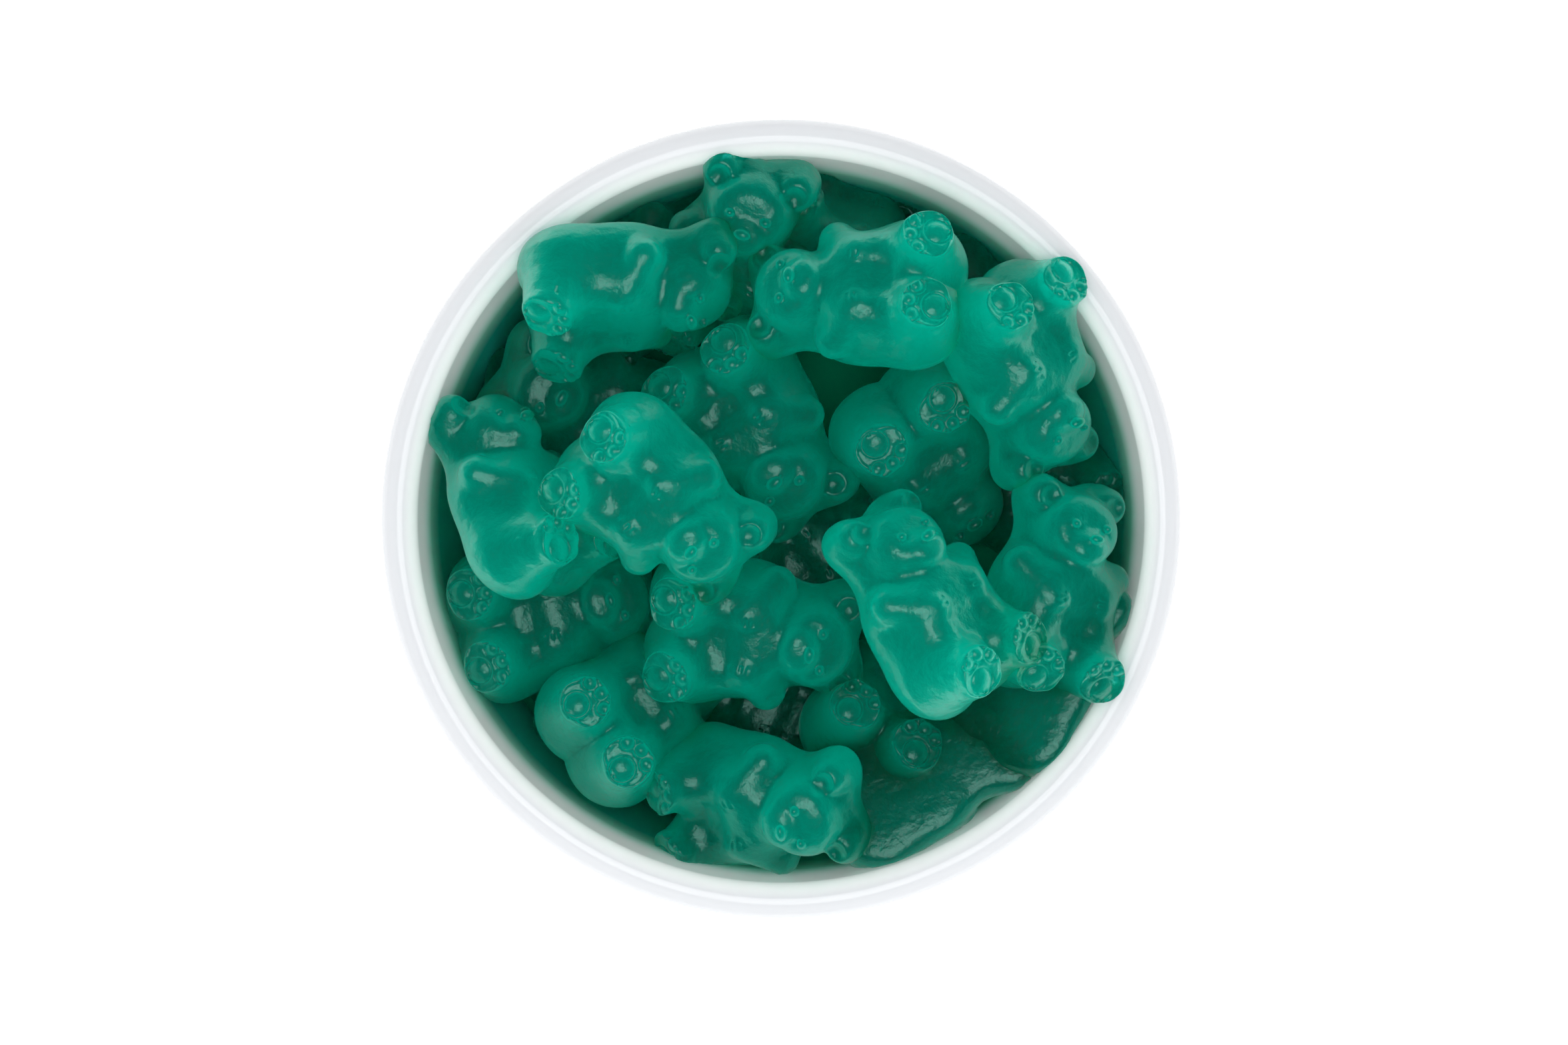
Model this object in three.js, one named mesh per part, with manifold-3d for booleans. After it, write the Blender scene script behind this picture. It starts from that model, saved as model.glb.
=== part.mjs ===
// A small white porcelain bowl heaped with gelatin bear sweets.
// Millimetres, +Z up, the bowl's foot ring standing on z = 0 round the origin.
//
// The bowl is one turned solid. The sweets are one fused solid: each bear that shows is a
// closed form of its own size, lying as it fell, and they are joined to a plain core that
// fills the bowl below them.
import * as THREE from 'three';
import { mergeVertices } from 'three/addons/utils/BufferGeometryUtils.js';
import Module from 'manifold-3d';

const wasm = await Module();
wasm.setup();

// ---- Driving dimensions -------------------------------------------------------------
const BOWL_HEIGHT = 42; // table to the top of the lip
const RIM_RADIUS = 41; // outside of the lip
const LIP_WIDTH = 3.8; // the lip is rolled round, so this is its thickness and its round
const FOOT_RADIUS = 26; // outside of the foot ring where it stands
const FOOT_WIDTH = 1.8; // flat of the foot ring
const FOOT_RECESS = 2.6; // underside above the table, inside the foot ring
const FLOOR_HEIGHT = 5.5; // inside of the bowl at its middle
const FLOOR_RADIUS = 20; // where the floor starts to rise into the wall
const WALL_CURVE_INSIDE = 0.28; // the smaller, the faster the wall turns upright
const WALL_CURVE_OUTSIDE = 0.4;
const WALL_START_RADIUS = 27; // outside of the bowl just above its foot ring
const WALL_START_HEIGHT = 3;
const TURNS = 44; // facets round the bowl

const BEAR_SCALE = 1.05; // a bear is 21.4 mm tall at scale 1
const BEAR_UNEVENNESS = 0.025; // how far one bear's length, width and depth stray
const CORE_TOP = 30; // filling below the bears: height at the middle
const CORE_EDGE = 23; // and at the wall
const GAP = 0.3; // clearance between the sweets and the bowl
const HEADROOM = 30; // space kept above the lip for the heap

// ---- Small helpers ------------------------------------------------------------------
const radians = THREE.MathUtils.degToRad;

// A closed three.js geometry as a solid that can be joined and cut.
function toSolid(geometry) {
  const plain = geometry.clone();
  plain.deleteAttribute('normal');
  plain.deleteAttribute('uv');
  const merged = mergeVertices(plain, 1e-3);
  const corner = merged.index.array;
  const faces = [];
  for (let i = 0; i < corner.length; i += 3) {
    const [a, b, c] = [corner[i], corner[i + 1], corner[i + 2]];
    if (a !== b && b !== c && c !== a) faces.push(a, b, c);
  }
  return new wasm.Manifold(new wasm.Mesh({
    numProp: 3,
    vertProperties: merged.attributes.position.array,
    triVerts: new Uint32Array(faces),
  }));
}

// The finished solid as a geometry with flat-shaded normals.
function toGeometry(solid) {
  const mesh = solid.getMesh();
  const indexed = new THREE.BufferGeometry();
  indexed.setAttribute('position', new THREE.BufferAttribute(mesh.vertProperties, 3));
  indexed.setIndex(new THREE.BufferAttribute(mesh.triVerts, 1));
  const flat = indexed.toNonIndexed();
  flat.computeVertexNormals();
  return flat;
}

// A profile of [radius, height] turned about the vertical axis.
function turned(profile) {
  const points = profile.map(([radius, height]) => new THREE.Vector2(radius, height));
  return new THREE.LatheGeometry(points, TURNS).rotateX(Math.PI / 2);
}

// Evenly spread numbers that are the same every run, between -1 and 1.
function seeded(seed) {
  let state = seed;
  return () => {
    state = (state * 1664525 + 1013904223) % 4294967296;
    return state / 2147483648 - 1;
  };
}

// ---- The bowl -----------------------------------------------------------------------
const LIP_RADIUS = LIP_WIDTH / 2;
const LIP_CENTRE = RIM_RADIUS - LIP_RADIUS;
const LIP_HEIGHT = BOWL_HEIGHT - LIP_RADIUS;

// The wall's inner and outer radius at a height, both rising steeply into the lip.
function innerRadius(height) {
  const rise = Math.max(0, (height - FLOOR_HEIGHT) / (LIP_HEIGHT - FLOOR_HEIGHT));
  return FLOOR_RADIUS + (LIP_CENTRE - LIP_RADIUS - FLOOR_RADIUS) * rise ** WALL_CURVE_INSIDE;
}

function outerRadius(height) {
  const rise = Math.max(0, (height - WALL_START_HEIGHT) / (LIP_HEIGHT - WALL_START_HEIGHT));
  return WALL_START_RADIUS + (RIM_RADIUS - WALL_START_RADIUS) * rise ** WALL_CURVE_OUTSIDE;
}

// Heights from one level to another, closer together at the bottom where the wall bends.
function wallHeights(from, to, steps, bend) {
  const heights = [];
  for (let i = 1; i < steps; i += 1) heights.push(from + (to - from) * (i / steps) ** bend);
  return heights;
}

// The rolled lip from one angle to another, swollen by a clearance.
function lipArc(fromDegrees, toDegrees, steps, clearance) {
  const points = [];
  for (let i = 0; i <= steps; i += 1) {
    const angle = radians(fromDegrees + (toDegrees - fromDegrees) * (i / steps));
    const radius = LIP_RADIUS + clearance;
    points.push([LIP_CENTRE + radius * Math.cos(angle), LIP_HEIGHT + radius * Math.sin(angle)]);
  }
  return points;
}

const outsideHeights = wallHeights(WALL_START_HEIGHT, LIP_HEIGHT, 8, 2.2);
const insideHeights = wallHeights(FLOOR_HEIGHT, LIP_HEIGHT, 8, 3);

const bowlProfile = [
  [0, FOOT_RECESS],
  [FOOT_RADIUS - FOOT_WIDTH - 0.8, FOOT_RECESS],
  [FOOT_RADIUS - FOOT_WIDTH, 0],
  [FOOT_RADIUS, 0],
  [FOOT_RADIUS + 0.5, 1.2],
  [WALL_START_RADIUS, WALL_START_HEIGHT],
  ...outsideHeights.map((height) => [outerRadius(height), height]),
  ...lipArc(0, 180, 8, 0),
  ...insideHeights.map((height) => [innerRadius(height), height]).reverse(),
  [FLOOR_RADIUS, FLOOR_HEIGHT],
  [0, FLOOR_HEIGHT],
];

// ---- One bear -----------------------------------------------------------------------
// The bear is described by how far a point is from its skin (negative inside). Its parts
// are ellipsoids and round-ended rods that flow into each other, as in a starch mould.
// Local axes: x to the bear's side, y towards its head, z out of its belly.
function blend(a, b, radius) {
  const share = THREE.MathUtils.clamp(0.5 + (0.5 * (b - a)) / radius, 0, 1);
  return b + (a - b) * share - radius * share * (1 - share);
}

function cut(a, b, radius) {
  return -blend(-a, -b, radius);
}

function ellipsoid(point, centre, axes) {
  const offset = point.clone().sub(centre);
  const near = offset.clone().divide(axes);
  const far = near.clone().divide(axes);
  return (near.length() * (near.length() - 1)) / Math.max(far.length(), 1e-9);
}

function rod(point, start, end, startRadius, endRadius) {
  const along = end.clone().sub(start);
  const offset = point.clone().sub(start);
  const share = THREE.MathUtils.clamp(offset.dot(along) / along.lengthSq(), 0, 1);
  const radius = startRadius + (endRadius - startRadius) * share;
  return offset.addScaledVector(along, -share).length() - radius;
}

// Distance to the bear's outline, seen from the front: head, ears, trunk and thighs.
function outline(x, y) {
  const disc = (cx, cy, rx, ry) => ellipsoid(
    new THREE.Vector3(x, y, 0), new THREE.Vector3(cx, cy, 0), new THREE.Vector3(rx, ry, 1));
  let distance = disc(0, 5.6, 4.8, 4.5);
  distance = blend(distance, disc(3.5, 8.7, 2.35, 2.3), 2.2);
  distance = blend(distance, disc(0, 0, 6.7, 5.6), 2.2);
  return blend(distance, disc(2.2, -5.0, 5.0, 5.2), 2.4);
}

const v = (x, y, z) => new THREE.Vector3(x, y, z);
const SOLE_FACING = v(0.1, -0.42, 0.9).normalize();
const SOLE_CENTRE = v(3.65, -7.9, 5.3);
const BACK_EDGE = 1.9; // round of the edge of the flat back
const BACK_MIDDLE = -2.2; // the outline's slab is centred this far behind the middle
const BACK_FLAT = -4.3;

function bearDistance(point) {
  const p = v(Math.abs(point.x), point.y, point.z);
  const side = outline(p.x, p.y) + BACK_EDGE;
  const depth = Math.abs(p.z - BACK_MIDDLE) + BACK_MIDDLE + BACK_EDGE;
  let d = Math.min(Math.max(side, depth), 0)
    + Math.hypot(Math.max(side, 0), Math.max(depth, 0)) - BACK_EDGE;
  d = blend(d, ellipsoid(p, v(0, -1.6, -0.6), v(6.2, 6.6, 5.1)), 1.8); // belly
  d = blend(d, ellipsoid(p, v(0, 5.9, -0.3), v(4.4, 3.9, 4.7)), 1.1); // face
  d = blend(d, ellipsoid(p, v(3.75, 8.9, -0.6), v(1.95, 1.9, 1.9)), 0.5); // ear
  d = cut(d, -ellipsoid(p, v(3.85, 9.0, 1.45), v(1.2, 1.15, 0.95)), 0.3); // ear's hollow
  d = blend(d, rod(p, v(5.2, 1.5, 0), v(3.2, -0.7, 3.35), 1.9, 1.25), 0.8); // arm
  d = blend(d, ellipsoid(p, v(0, 4.9, 3.75), v(2.45, 1.8, 2.0)), 0.5); // muzzle
  let leg = rod(p, v(3.5, -6.0, -0.6), v(3.65, -7.6, 4.2), 4.1, 2.6);
  leg = cut(leg, p.clone().sub(SOLE_CENTRE).dot(SOLE_FACING), 0.35); // flat sole
  d = blend(d, leg, 1.4);
  return cut(d, -(p.z - BACK_FLAT), 0.9);
}

// The skin along a ray that starts inside the bear: walk inwards until the skin is met.
function skinAlong(start, direction) {
  let distance = 12;
  for (let step = 0; step < 60; step += 1) {
    const left = bearDistance(start.clone().addScaledVector(direction, distance));
    if (left < 1e-3) break;
    distance = Math.max(0.5, distance - left * 0.6);
  }
  return start.clone().addScaledVector(direction, distance);
}

// A faceted capsule along the bear's spine, each corner pulled straight out or in until it
// lies on the skin. Rows of corners then cross the bear level with its limbs and face.
const SPINE_TOP = 6.2;
const SPINE_BOTTOM = -5.4;

function bearGeometry(sides, capRows, trunkRows) {
  const spine = SPINE_TOP - SPINE_BOTTOM;
  const capsule = new THREE.CapsuleGeometry(4, spine, capRows, sides, trunkRows);
  capsule.deleteAttribute('normal');
  capsule.deleteAttribute('uv');
  const bear = mergeVertices(capsule, 1e-4);
  const position = bear.attributes.position;
  for (let i = 0; i < position.count; i += 1) {
    const corner = v(0, 0, 0).fromBufferAttribute(position, i);
    const start = v(0, THREE.MathUtils.clamp(corner.y, -spine / 2, spine / 2), 0);
    const direction = corner.sub(start).normalize();
    start.y += (SPINE_TOP + SPINE_BOTTOM) / 2;
    position.setXYZ(i, ...skinAlong(start, direction));
  }
  return bear;
}

const fineBear = bearGeometry(16, 4, 6);
const plainBear = bearGeometry(12, 3, 3);

// ---- The heap -----------------------------------------------------------------------
// Each bear: where its middle lies, the way its head points (degrees from +X), how far its
// head is lifted, and how far its face is turned over to its left side.
const topBears = [
  { at: [-12.5, 1.6, 46], heading: -39, lift: 0, turn: 20 },
  { at: [15.2, -8.3, 47], heading: 122, lift: 0, turn: 38 },
  { at: [7.6, 23.2, 44], heading: 182, lift: -12, turn: 20 },
  { at: [-15.5, 23.2, 40], heading: 7, lift: 0, turn: 50 },
  { at: [25.4, 15.2, 41], heading: -72, lift: -12, turn: -34 },
  { at: [-2.9, 9.2, 37], heading: -55, lift: 0, turn: 15 },
  { at: [15.8, 5.8, 34], heading: -56, lift: -33, turn: 0 },
  { at: [-27.0, 3.0, 39.5], heading: 115, lift: -15, turn: 55 },
  { at: [-23.6, -9.7, 33], heading: 13, lift: -5, turn: 0 },
  { at: [-13.9, -19.0, 33.5], heading: 35, lift: -28, turn: 0 },
  { at: [-2.9, -11.9, 38.5], heading: -6, lift: 0, turn: 15 },
  { at: [28.6, -7.3, 40.5], heading: 79, lift: 0, turn: 28 },
  { at: [-2.3, -29.6, 37], heading: -3, lift: 32, turn: 25 },
  { at: [12.2, -18.9, 30.5], heading: 57, lift: -42, turn: 0 },
  { at: [-4.6, 26.9, 35.5], heading: 73, lift: 33, turn: 0 },
];

const lowerBears = [
  { at: [14.6, -27.0, 34.5], heading: 25, lift: 0, turn: 164 },
  { at: [26.9, -15.6, 35], heading: 58, lift: 0, turn: 160 },
  { at: [8.6, 28.3, 31], heading: -25, lift: 0, turn: -50 },
  { at: [-19.5, 10.9, 31], heading: 153, lift: 22, turn: 0 },
  { at: [-13.0, 26.0, 28], heading: 27, lift: 0, turn: 25 },
  { at: [18.0, 22.8, 27.5], heading: 142, lift: 0, turn: -15 },
  { at: [25.5, 3.2, 26.5], heading: 150, lift: 0, turn: 0 },
  { at: [-19.0, -19.0, 24], heading: 135, lift: 0, turn: 0 },
  { at: [-1.5, -20.0, 26], heading: 160, lift: 0, turn: 0 },
  { at: [-25.4, 12.0, 25], heading: 65, lift: 0, turn: 0 },
  { at: [4.5, -3.1, 28.5], heading: 30, lift: 0, turn: 0 },
];

const stray = seeded(11);

function placedBear(shape, { at, heading, lift, turn }) {
  const size = v(stray(), stray(), stray()).multiplyScalar(BEAR_UNEVENNESS).addScalar(1);
  const tilt = new THREE.Euler(radians(lift), radians(turn), radians(heading - 90), 'ZXY');
  const place = new THREE.Matrix4().compose(
    v(...at),
    new THREE.Quaternion().setFromEuler(tilt),
    size.multiplyScalar(BEAR_SCALE),
  );
  return toSolid(shape.clone().applyMatrix4(place));
}

// The space that the sweets may fill: the bowl's inside, and everything above the lip,
// kept clear of the porcelain all over.
const ceiling = BOWL_HEIGHT + HEADROOM;
const roomProfile = [
  [0, FLOOR_HEIGHT + GAP],
  [FLOOR_RADIUS - GAP, FLOOR_HEIGHT + GAP],
  ...insideHeights.map((height) => [innerRadius(height) - GAP, height + GAP]),
  ...lipArc(180, 90, 4, GAP),
  [RIM_RADIUS + 6, BOWL_HEIGHT + GAP],
  [RIM_RADIUS + 6, ceiling],
  [0, ceiling],
];

const coreProfile = [
  [0, FLOOR_HEIGHT + GAP],
  [RIM_RADIUS, FLOOR_HEIGHT + GAP],
  [RIM_RADIUS, CORE_EDGE],
  [RIM_RADIUS * 0.55, CORE_EDGE + (CORE_TOP - CORE_EDGE) * 0.75],
  [0, CORE_TOP],
];

let sweets = toSolid(turned(coreProfile));
for (const bear of topBears) sweets = sweets.add(placedBear(fineBear, bear));
for (const bear of lowerBears) sweets = sweets.add(placedBear(plainBear, bear));
sweets = sweets.intersect(toSolid(turned(roomProfile)));
sweets = sweets.simplify(0.042);

// ---- The part -----------------------------------------------------------------------
const porcelain = new THREE.MeshStandardMaterial({
  name: 'glazed porcelain', color: 0xf1f2f3, roughness: 0.12, metalness: 0,
});
const gelatin = new THREE.MeshStandardMaterial({
  name: 'gelatin', color: 0x0a8a70, roughness: 0.35, metalness: 0,
});

const bowl = new THREE.Mesh(toGeometry(toSolid(turned(bowlProfile))), porcelain);
bowl.name = 'bowl';

const gummyBears = new THREE.Mesh(toGeometry(sweets), gelatin);
gummyBears.name = 'gummy_bears';

const part = new THREE.Group();
part.add(bowl, gummyBears);

export default part;
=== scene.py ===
# %% [markdown]
# # A small bowl heaped with gelatin bears
# A white porcelain bowl, 82 mm across, filled past its lip with teal-green sweets. A packed
# model gives every size and place; this script dresses it. The bowl is turned again with
# a smooth glaze, one bear is modelled with its face, paws and soles, and Geometry Nodes
# lay copies of it where the heap has them. The scene is in metres, with +Z up, and a size
# written in millimetres is multiplied by MM.

import math

import bmesh
import bpy
import numpy as np
from mathutils import Euler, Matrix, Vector


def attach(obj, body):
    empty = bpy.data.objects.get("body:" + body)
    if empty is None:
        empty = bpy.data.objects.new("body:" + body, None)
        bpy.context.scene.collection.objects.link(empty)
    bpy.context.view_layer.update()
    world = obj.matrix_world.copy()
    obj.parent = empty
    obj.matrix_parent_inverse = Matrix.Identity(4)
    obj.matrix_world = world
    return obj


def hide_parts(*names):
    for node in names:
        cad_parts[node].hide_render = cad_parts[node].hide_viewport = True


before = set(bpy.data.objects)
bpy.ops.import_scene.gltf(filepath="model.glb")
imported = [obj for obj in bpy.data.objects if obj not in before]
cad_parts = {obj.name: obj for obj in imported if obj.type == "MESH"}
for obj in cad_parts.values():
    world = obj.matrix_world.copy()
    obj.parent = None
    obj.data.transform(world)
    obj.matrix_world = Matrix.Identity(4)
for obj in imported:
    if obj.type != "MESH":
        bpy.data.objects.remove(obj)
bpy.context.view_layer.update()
MM = 0.001
print("packed nodes:", sorted(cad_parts))

# %% [markdown]
# ## Two helpers for every material
# Colours are picked as sRGB hex, as a paint chart gives them, but a renderer adds light in
# linear values, so one function turns hex to linear. The other adds a node with its
# settings and links in a single call, which keeps a node tree as short as a recipe.

# %% Colour and node helpers
def linear(hex_code):
    """An sRGB hex colour such as "#0A8A70" as linear red, green, blue and alpha."""
    channels = [int(hex_code[i:i + 2], 16) / 255 for i in (1, 3, 5)]
    turned = [c / 12.92 if c <= 0.04045 else ((c + 0.055) / 1.055) ** 2.4 for c in channels]
    return (*turned, 1.0)


def add(tree, kind, settings=None, **inputs):
    """Adds a node. Settings are its properties; inputs are values, or sockets to link from.
    An input is named by its label in lower case with _ for spaces, or in_0, in_1 by place."""
    node = tree.nodes.new(kind)
    for name, value in (settings or {}).items():
        setattr(node, name, value)
    labels = {socket.name.lower().replace(" ", "_"): socket for socket in reversed(node.inputs)}
    for name, value in inputs.items():
        socket = node.inputs[int(name[3:])] if name.startswith("in_") else labels[name]
        if isinstance(value, bpy.types.NodeSocket):
            tree.links.new(value, socket)
        else:
            socket.default_value = value
    return node


print("teal in linear values:", [round(c, 3) for c in linear("#0A8A70")])

# %% [markdown]
# ## The camera
# The bowl is looked at from straight above, from half a metre away with a long lens, so
# its lip is a true circle and the heap hardly leans outwards. The lens follows from two
# sizes: how many pixels the lip takes in a picture 2353 pixels wide, and its real radius.

# %% Camera
PICTURE_WIDTH = 2353
LIP_RADIUS_PX = 600
BOWL_CENTRE_OFFSET_PX = (-4.5, 5.0)
LIP_LEVEL = 40 * MM
CAMERA_DISTANCE = 520 * MM
RIM_RADIUS = 41 * MM

camera_data = bpy.data.cameras.new("camera")
camera = bpy.data.objects.new("camera", camera_data)
bpy.context.scene.collection.objects.link(camera)
camera_data.sensor_width = 36
focal_px = LIP_RADIUS_PX * CAMERA_DISTANCE / RIM_RADIUS
camera_data.lens = camera_data.sensor_width * focal_px / PICTURE_WIDTH
offset_x, offset_y = (px * CAMERA_DISTANCE / focal_px for px in BOWL_CENTRE_OFFSET_PX)
camera.location = (-offset_x, -offset_y, LIP_LEVEL + CAMERA_DISTANCE)
camera_data.clip_end = 5
bpy.context.scene.camera = camera
print("lens, mm:", round(camera_data.lens, 1))

# %% [markdown]
# ## The bear as a field
# A starch mould gives these sweets soft, flowing forms: a head with round ears, a belly,
# arms folded over it, short legs whose flat soles carry a heel pad and three toes, and a
# flat back where the syrup met the air. Sculpting that by hand is slow to repeat. A
# distance field says the same in a few lines: every ellipsoid or round-ended rod is a
# function that gives the distance to its skin, negative inside. Taking the smaller of two
# joins them, and a blend radius rounds the seam as the mould does.

# %% Field helpers
def blend(a, b, radius):
    """The nearer of two distances, with the seam rounded."""
    share = np.clip(0.5 + 0.5 * (b - a) / radius, 0, 1)
    return b + (a - b) * share - radius * share * (1 - share)


def cut(a, b, radius):
    """The further of two distances, for taking one form out of another."""
    return -blend(-a, -b, radius)


def ellipsoid(points, centre, axes):
    offset = points - np.array(centre)
    near = np.linalg.norm(offset / axes, axis=-1)
    far = np.linalg.norm(offset / np.square(axes), axis=-1)
    return near * (near - 1) / np.maximum(far, 1e-9)


def rod(points, start, end, start_radius, end_radius):
    start, end = np.array(start, float), np.array(end, float)
    along = end - start
    share = np.clip((points - start) @ along / (along @ along), 0, 1)
    reach = np.linalg.norm(points - start - share[..., None] * along, axis=-1)
    return reach - start_radius - (end_radius - start_radius) * share


# %% [markdown]
# The bear lies along its own axes, in millimetres: x to its side, y towards its head and z
# out of its belly. It is symmetrical, so only the side with positive x is described.

# %% The bear's body
SOLE_FACING = np.array([0.10, -0.42, 0.90]) / math.hypot(0.10, 0.42, 0.90)
SOLE_CENTRE = np.array([3.65, -7.9, 5.3])
BACK_EDGE = 1.9
BACK_MIDDLE = -2.2
BACK_FLAT = -4.3
CROWN_RADIUS = 30.0  # the front is nearly flat: part of a ball this large
CROWN_TOP = 4.15


def outline(x, y):
    """Distance to the bear's outline seen from the front: head, ears, trunk and thighs."""
    flat = np.stack([x, y, 0 * x], -1)
    distance = ellipsoid(flat, (0, 5.6, 0), (4.8, 4.5, 1))
    distance = blend(distance, ellipsoid(flat, (3.5, 8.7, 0), (2.35, 2.3, 1)), 2.2)
    distance = blend(distance, ellipsoid(flat, (0, 0.0, 0), (6.7, 5.6, 1)), 2.2)
    return blend(distance, ellipsoid(flat, (2.2, -5.0, 0), (5.0, 5.2, 1)), 2.4)


def crowned(d, p, top, radius):
    """Flattens a front under a wide ball whose highest point is at z = top."""
    middle = np.array([0, 0.5, top - CROWN_RADIUS])
    return cut(d, np.linalg.norm(p - middle, axis=-1) - CROWN_RADIUS, radius)


def body_distance(p):
    side = outline(p[..., 0], p[..., 1]) + BACK_EDGE
    depth = np.abs(p[..., 2] - BACK_MIDDLE) + BACK_MIDDLE + BACK_EDGE
    outside = np.hypot(np.maximum(side, 0), np.maximum(depth, 0))
    d = np.minimum(np.maximum(side, depth), 0) + outside - BACK_EDGE
    d = blend(d, ellipsoid(p, (0, -1.6, -0.6), (6.2, 6.6, 6.0)), 1.8)  # belly
    d = blend(d, ellipsoid(p, (0, 5.9, -0.3), (4.4, 3.9, 5.6)), 1.1)  # face
    d = crowned(d, p, CROWN_TOP, 0.7)
    d = blend(d, ellipsoid(p, (3.75, 8.9, -0.6), (1.95, 1.9, 1.9)), 0.5)  # ear
    d = cut(d, -ellipsoid(p, (3.85, 9.0, 1.45), (1.2, 1.15, 0.95)), 0.3)  # ear's hollow
    arm = rod(p, (5.3, 1.8, 0.4), (2.7, -0.8, 3.6), 1.9, 1.0)
    d = blend(d, crowned(arm, p, CROWN_TOP + 0.55, 0.8), 0.9)
    muzzle = ellipsoid(p, (0, 4.6, 3.6), (2.0, 1.6, 2.0))
    d = blend(d, crowned(muzzle, p, CROWN_TOP + 0.95, 0.9), 1.0)
    leg = rod(p, (3.5, -6.0, -0.6), (3.65, -7.6, 4.2), 4.1, 2.6)
    leg = cut(leg, (p - SOLE_CENTRE) @ SOLE_FACING, 0.35)  # flat sole
    d = blend(d, leg, 1.9)
    return cut(d, -(p[..., 2] - BACK_FLAT), 0.9)


# %% Paws, eyes, nose and mouth
SOLE_PADS = (  # place on the sole across and up it, and radius: a heel and three toes
    (0.3, -1.0, 1.2),
    (-1.55, 0.95, 0.62),
    (-0.15, 1.6, 0.62),
    (1.3, 1.25, 0.62),
)
SOLE_ACROSS = np.array([1.0, 0, 0]) - SOLE_FACING * SOLE_FACING[0]
SOLE_ACROSS /= np.linalg.norm(SOLE_ACROSS)
SOLE_UP = np.cross(SOLE_FACING, SOLE_ACROSS)
SOLE_RADIUS = 2.4
SOLE_CORNERS = 0.1  # how far the sole's outline leans from a circle to a triangle
SOLE_TURN = math.radians(35)
RIM_HEIGHT = 0.22  # of the ridge round a sole
RIM_WIDTH = 0.2
PAD_GROOVE = 0.15
PAD_BLEND = 0.08
FINGER_GAPS = (-0.62, 0.12, 0.84)
FACE_MIDDLE = 5.3
FACE_RADIUS = 3.75
FACE_GROOVE = 0.14
BELLY_DENT = 0.5


def bear_distance(points):
    p = points.copy()
    p[..., 0] = np.abs(p[..., 0])
    d = body_distance(p)
    front = np.clip((p[..., 2] - 1.8) / 1.2, 0, 1)
    face_edge = np.hypot(p[..., 0], p[..., 1] - FACE_MIDDLE) - FACE_RADIUS
    d = d + FACE_GROOVE * front * np.exp(-np.square(face_edge / 0.7))
    dent_up = np.maximum(np.abs(p[..., 1] + 3.2) - 0.6, 0)
    dent = np.hypot(np.maximum(p[..., 0] - 1.1, 0), dent_up)
    d = d + BELLY_DENT * front * np.exp(-np.square(dent / 1.1))
    on_sole = p - SOLE_CENTRE
    across, up, out = on_sole @ SOLE_ACROSS, on_sole @ SOLE_UP, on_sole @ SOLE_FACING
    corners = 1 + SOLE_CORNERS * np.cos(3 * (np.arctan2(up, across) + SOLE_TURN))
    edge = np.hypot(across, up) - SOLE_RADIUS * corners
    d = d - RIM_HEIGHT * np.exp(-np.square(edge / RIM_WIDTH) - np.square(out / 0.6))
    for pad_x, pad_y, radius in SOLE_PADS:
        reach = np.hypot(across - pad_x, up - pad_y)
        groove = PAD_GROOVE - np.hypot(reach - radius - 0.08, out + 0.02)
        d = cut(d, groove, PAD_BLEND)
        dome = np.stack([reach, 0 * reach, out], -1)
        pad = ellipsoid(dome, (0, 0, -0.3), (radius, radius, 0.4 + 0.14 * radius))
        d = blend(d, pad, PAD_BLEND)
    d = cut(d, -ellipsoid(p, (1.9, 6.7, 4.1), (0.95, 0.75, 0.6)), 0.25)  # eye socket
    d = blend(d, ellipsoid(p, (1.8, 6.75, 3.5), (0.5, 0.42, 0.5)), 0.12)  # eye
    d = blend(d, ellipsoid(p, (0, 5.6, 4.95), (0.85, 0.55, 0.55)), 0.15)  # nose
    d = cut(d, -rod(p, (0, 4.3, 5.35), (1.3, 3.6, 4.95), 0.24, 0.2), 0.2)  # mouth
    for gap in FINGER_GAPS:
        finger = rod(p, (2.1, gap - 0.9, 4.35), (3.3, gap - 1.1, 4.75), 0.16, 0.16)
        d = cut(d, -finger, 0.2)
    return d


# %% [markdown]
# ## From field to mesh
# The field is sampled on a fine grid. Every grid cell that the skin passes through gets one
# corner point, and every grid edge that crosses the skin gets one four-sided face round it,
# a method known as surface nets. Each corner is then walked along the field's slope until
# it lies on the skin, so the mesh is as smooth as the field itself.

# %% Surface nets
BEAR_LOW = np.array([-8.6, -13.0, -5.4])
BEAR_HIGH = np.array([8.6, 12.6, 7.4])
GRID_CELL = 0.22


def corner_points(values, cells):
    """The middle of the places where the skin crosses a cell's twelve edges."""
    total, count = np.zeros((len(cells), 3)), np.zeros(len(cells))
    for start in np.ndindex(2, 2, 2):
        for axis in range(3):
            if start[axis]:
                continue
            first = cells + start
            second = first + np.eye(3, dtype=int)[axis]
            a, b = values[tuple(first.T)], values[tuple(second.T)]
            crossed = (a < 0) != (b < 0)
            share = a[crossed] / (a[crossed] - b[crossed])
            total[crossed] += first[crossed] + share[:, None] * np.eye(3)[axis]
            count[crossed] += 1
    return total / count[:, None]


def walk_to_skin(field, points, cell, rounds=3, reach=0.02):
    for _ in range(rounds):
        value = field(points)
        steps = np.eye(3) * reach
        slope = [(field(points + s) - field(points - s)) / (2 * reach) for s in steps]
        slope = np.stack(slope, -1)
        steep = np.maximum((slope * slope).sum(-1), 0.25)
        points = points - np.clip(value / steep, -cell / 2, cell / 2)[:, None] * slope
    return points


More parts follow.
